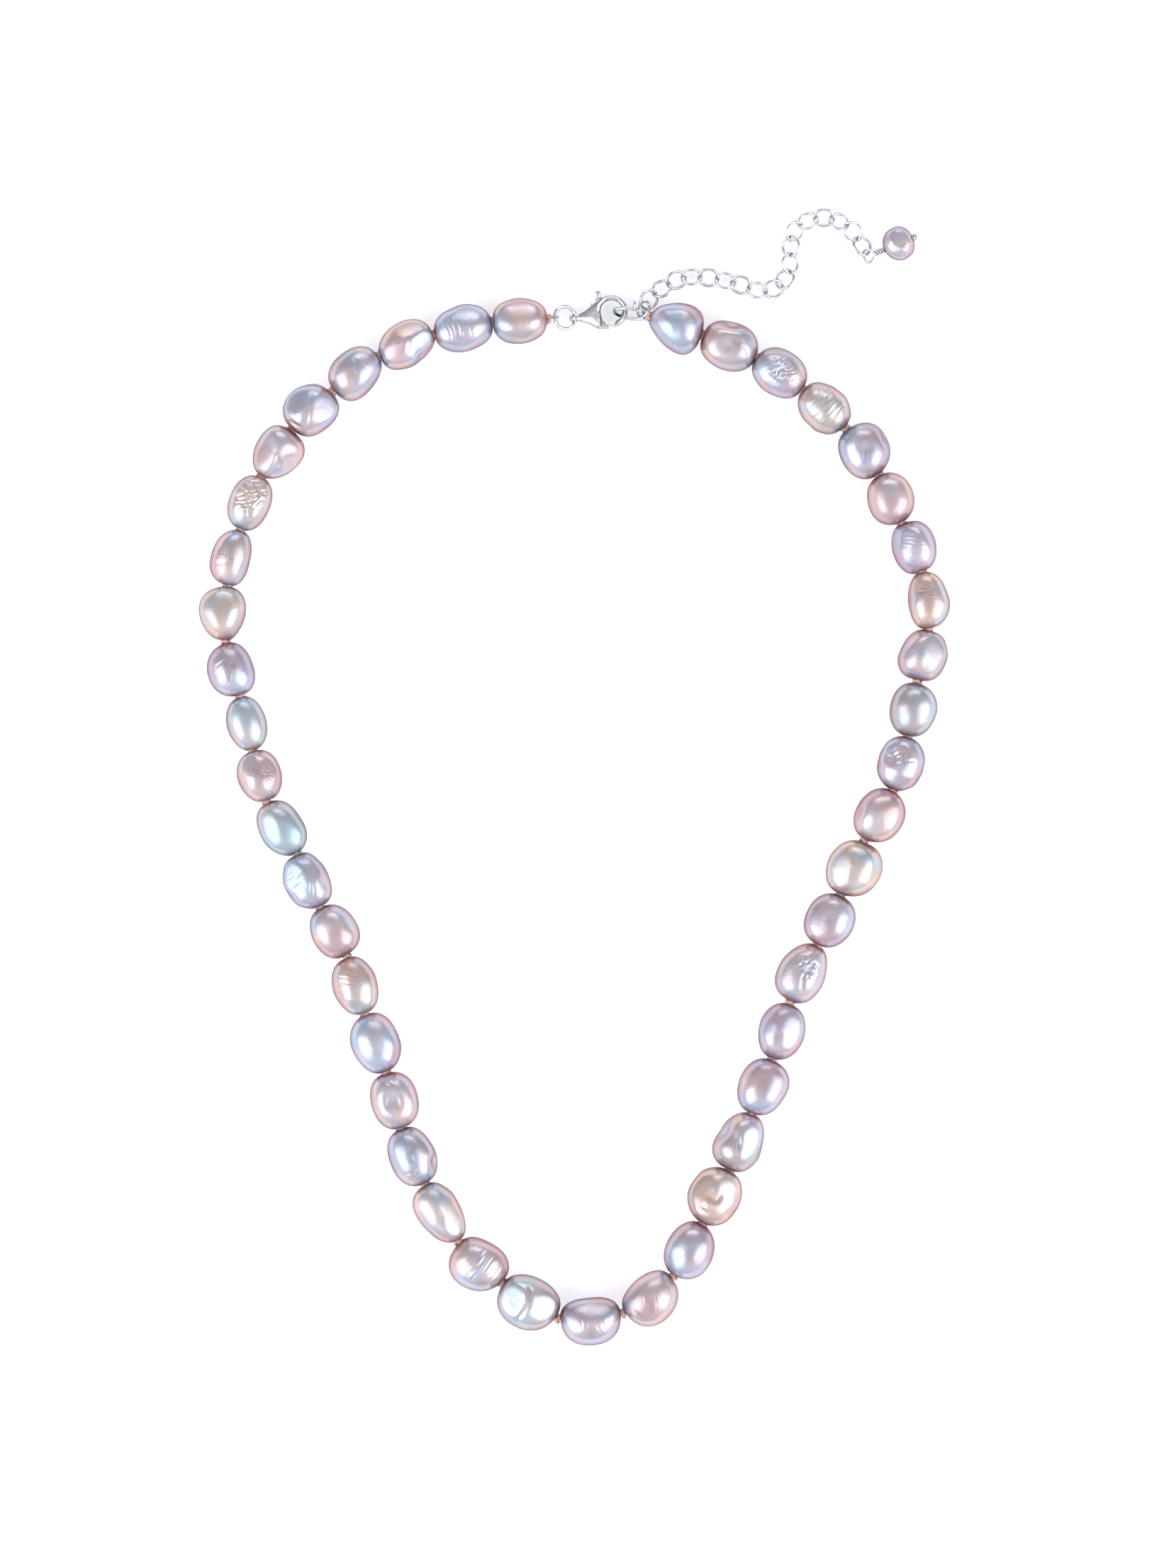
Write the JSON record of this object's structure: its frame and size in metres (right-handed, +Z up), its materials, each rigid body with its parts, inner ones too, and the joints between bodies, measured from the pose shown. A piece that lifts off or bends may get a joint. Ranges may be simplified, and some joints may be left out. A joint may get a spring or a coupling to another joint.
{
  "type": "pearl necklace",
  "caption": "Single strand of baroque freshwater pearls knotted on silk, closed by a lobster claw clasp, with an extender chain that ends in a small pearl drop.",
  "frame": {"origin": "under the middle of the necklace's footprint, on the surface that it lies on", "axes": "+Z up from the surface, +Y from the front pearl towards the clasp, +X to the right seen from above"},
  "size_m": [0.127, 0.1924, 0.0081],
  "materials": {
    "nacre_lavender": "gloss",
    "nacre_rose": "gloss",
    "nacre_cream": "gloss",
    "nacre_mint": "gloss",
    "silver": "polished",
    "spring_steel": "satin",
    "silk": "matte"
  },
  "bodies": {
    "front_pearl": {"pearl_centre": "nacre_lavender", "silk_thread": "silk"},
    "strand_left_1": {"pearl_left_22": "nacre_mint", "pearl_left_21": "nacre_rose"},
    "strand_left_2": {"pearl_left_20": "nacre_cream", "pearl_left_19": "nacre_lavender", "pearl_left_18": "nacre_rose", "pearl_left_17": "nacre_lavender", "pearl_left_16": "nacre_cream"},
    "strand_left_3": {"pearl_left_15": "nacre_rose", "pearl_left_14": "nacre_lavender", "pearl_left_13": "nacre_mint"},
    "strand_left_4": {"pearl_left_12": "nacre_rose", "pearl_left_11": "nacre_mint", "pearl_left_10": "nacre_lavender"},
    "strand_left_5": {"pearl_left_09": "nacre_cream", "pearl_left_08": "nacre_rose", "pearl_left_07": "nacre_cream", "pearl_left_06": "nacre_rose", "pearl_left_05": "nacre_lavender"},
    "strand_left_6": {"pearl_left_04": "nacre_lavender", "pearl_left_03": "nacre_rose", "pearl_left_02": "nacre_lavender", "pearl_left_01": "nacre_rose"},
    "jump_ring": {"jump_ring": "silver"},
    "clasp": {"clasp_body": "silver", "clasp_rivet": "silver", "clasp_spring": "spring_steel"},
    "clasp_lever": {"clasp_lever": "silver"},
    "strand_right_1": {"pearl_right_21": "nacre_rose"},
    "strand_right_2": {"pearl_right_20": "nacre_lavender", "pearl_right_19": "nacre_cream", "pearl_right_18": "nacre_rose", "pearl_right_17": "nacre_lavender", "pearl_right_16": "nacre_lavender"},
    "strand_right_3": {"pearl_right_15": "nacre_rose", "pearl_right_14": "nacre_lavender", "pearl_right_13": "nacre_cream"},
    "strand_right_4": {"pearl_right_12": "nacre_rose", "pearl_right_11": "nacre_lavender", "pearl_right_10": "nacre_mint"},
    "strand_right_5": {"pearl_right_09": "nacre_rose", "pearl_right_08": "nacre_cream", "pearl_right_07": "nacre_lavender", "pearl_right_06": "nacre_rose", "pearl_right_05": "nacre_lavender"},
    "strand_right_6": {"pearl_right_04": "nacre_cream", "pearl_right_03": "nacre_lavender", "pearl_right_02": "nacre_rose", "pearl_right_01": "nacre_lavender"},
    "tail_ring": {"tail_ring": "silver"},
    "chain_ring": {"chain_ring": "silver"},
    "chain_section_1": {"chain_section_1": "silver"},
    "chain_section_2": {"chain_section_2": "silver"},
    "chain_section_3": {"chain_section_3": "silver"},
    "chain_section_4": {"chain_section_4": "silver"},
    "chain_section_5": {"chain_section_5": "silver"},
    "chain_section_6": {"chain_section_6": "silver"},
    "drop": {"drop_headpin": "silver", "drop_pearl": "nacre_lavender"}
  },
  "joints": [
    {"name": "strand_spread", "type": "hinge", "parent": "front_pearl", "child": "strand_left_1", "pos_m": [-0.0027, -0.09171, 0.00385], "axis": [0, 0, 1], "range_deg": [-8.5, 13], "deforming": ["silk_thread"]},
    {"name": "left_knot_20", "type": "hinge", "parent": "strand_left_1", "child": "strand_left_2", "pos_m": [-0.0196, -0.07861, 0.00385], "axis": [0, 0, 1], "range_deg": [-1.43, 2.03]},
    {"name": "left_knot_15", "type": "hinge", "parent": "strand_left_2", "child": "strand_left_3", "pos_m": [-0.0384, -0.03041, 0.00385], "axis": [0, 0, 1], "range_deg": [-10.1, 6.71]},
    {"name": "left_knot_12", "type": "hinge", "parent": "strand_left_3", "child": "strand_left_4", "pos_m": [-0.052, -0.00421, 0.00385], "axis": [0, 0, 1], "range_deg": [-9.19, 6.11]},
    {"name": "left_knot_09", "type": "hinge", "parent": "strand_left_4", "child": "strand_left_5", "pos_m": [-0.059, 0.02289, 0.00385], "axis": [0, 0, 1], "range_deg": [-6.64, 4.44]},
    {"name": "left_knot_04", "type": "hinge", "parent": "strand_left_5", "child": "strand_left_6", "pos_m": [-0.0408, 0.06519, 0.00385], "axis": [0, 0, 1], "range_deg": [-5.87, 8.83]},
    {"name": "jump_ring_turn", "type": "hinge", "parent": "strand_left_6", "child": "jump_ring", "pos_m": [-0.0033, 0.07789, 0.003], "axis": [0.9063, 0, -0.4226], "range_deg": [-15, 15]},
    {"name": "clasp_swing", "type": "hinge", "parent": "strand_left_6", "child": "clasp", "pos_m": [0.00025, 0.07789, 0.0014], "axis": [0, 0, 1], "range_deg": [-4.73, 3.2]},
    {"name": "clasp_lever_press", "type": "hinge", "parent": "clasp", "child": "clasp_lever", "pos_m": [0.0036, 0.07879, 0.0014], "axis": [0, 0, 1], "range_deg": [0, 20], "stiffness_Nm_per_rad": 0.0004, "springref_deg": -20.05, "deforming": ["clasp_spring"]},
    {"name": "right_knot_21", "type": "hinge", "parent": "front_pearl", "child": "strand_right_1", "pos_m": [0.0084, -0.09081, 0.00385], "axis": [0, 0, 1], "range_deg": [-4.89, 3.3]},
    {"name": "right_knot_20", "type": "hinge", "parent": "strand_right_1", "child": "strand_right_2", "pos_m": [0.0168, -0.08461, 0.00385], "axis": [0, 0, 1], "range_deg": [-6.65, 4.45]},
    {"name": "right_knot_15", "type": "hinge", "parent": "strand_right_2", "child": "strand_right_3", "pos_m": [0.0365, -0.03821, 0.00385], "axis": [0, 0, 1], "range_deg": [-6.15, 9.25]},
    {"name": "right_knot_12", "type": "hinge", "parent": "strand_right_3", "child": "strand_right_4", "pos_m": [0.0492, -0.01081, 0.00385], "axis": [0, 0, 1], "range_deg": [-6.35, 9.55]},
    {"name": "right_knot_09", "type": "hinge", "parent": "strand_right_4", "child": "strand_right_5", "pos_m": [0.0581, 0.01609, 0.00385], "axis": [0, 0, 1], "range_deg": [-4.46, 6.66]},
    {"name": "right_knot_04", "type": "hinge", "parent": "strand_right_5", "child": "strand_right_6", "pos_m": [0.0461, 0.05899, 0.00385], "axis": [0, 0, 1], "range_deg": [-1.34, 0.98]},
    {"name": "tail_ring_swing", "type": "hinge", "parent": "strand_right_6", "child": "tail_ring", "pos_m": [0.0123, 0.07829, 0.0018], "axis": [0, 0, 1], "range_deg": [-4, 2]},
    {"name": "chain_ring_swing", "type": "hinge", "parent": "tail_ring", "child": "chain_ring", "pos_m": [0.01188, 0.07877, 0.0026], "axis": [0, 0, 1], "range_deg": [-2, 12]},
    {"name": "chain_swing_1", "type": "hinge", "parent": "chain_ring", "child": "chain_section_1", "pos_m": [0.0118, 0.08004, 0.002], "axis": [0, 0, 1], "range_deg": [-3, 12]},
    {"name": "chain_swing_2", "type": "hinge", "parent": "chain_section_1", "child": "chain_section_2", "pos_m": [0.01864, 0.0849, 0.00129], "axis": [0, 0, 1], "range_deg": [-3, 12]},
    {"name": "chain_swing_3", "type": "hinge", "parent": "chain_section_2", "child": "chain_section_3", "pos_m": [0.02709, 0.08403, 0.0013], "axis": [0, 0, 1], "range_deg": [-10, 10]},
    {"name": "chain_swing_4", "type": "hinge", "parent": "chain_section_3", "child": "chain_section_4", "pos_m": [0.03517, 0.08337, 0.0013], "axis": [0, 0, 1], "range_deg": [-10, 10]},
    {"name": "chain_swing_5", "type": "hinge", "parent": "chain_section_4", "child": "chain_section_5", "pos_m": [0.03683, 0.09147, 0.0013], "axis": [0, 0, 1], "range_deg": [-10, 10]},
    {"name": "chain_swing_6", "type": "hinge", "parent": "chain_section_5", "child": "chain_section_6", "pos_m": [0.04383, 0.09488, 0.0013], "axis": [0, 0, 1], "range_deg": [-10, 10]},
    {"name": "drop_swing", "type": "hinge", "parent": "chain_section_6", "child": "drop", "pos_m": [0.05008, 0.08847, 0.0013], "axis": [0, 0, 1], "range_deg": [-25, 25]}
  ],
  "couplings": [
    {"joint": "left_knot_20", "follows": "strand_spread", "ratio": 0.1328},
    {"joint": "left_knot_15", "follows": "strand_spread", "ratio": -0.754},
    {"joint": "left_knot_12", "follows": "strand_spread", "ratio": -0.6838},
    {"joint": "left_knot_09", "follows": "strand_spread", "ratio": -0.4874},
    {"joint": "left_knot_04", "follows": "strand_spread", "ratio": 0.6558},
    {"joint": "clasp_swing", "follows": "strand_spread", "ratio": -0.3408},
    {"joint": "right_knot_21", "follows": "strand_spread", "ratio": -0.353},
    {"joint": "right_knot_20", "follows": "strand_spread", "ratio": -0.4888},
    {"joint": "right_knot_15", "follows": "strand_spread", "ratio": 0.6888},
    {"joint": "right_knot_12", "follows": "strand_spread", "ratio": 0.7119},
    {"joint": "right_knot_09", "follows": "strand_spread", "ratio": 0.4891},
    {"joint": "right_knot_04", "follows": "strand_spread", "ratio": -0.0802}
  ]
}
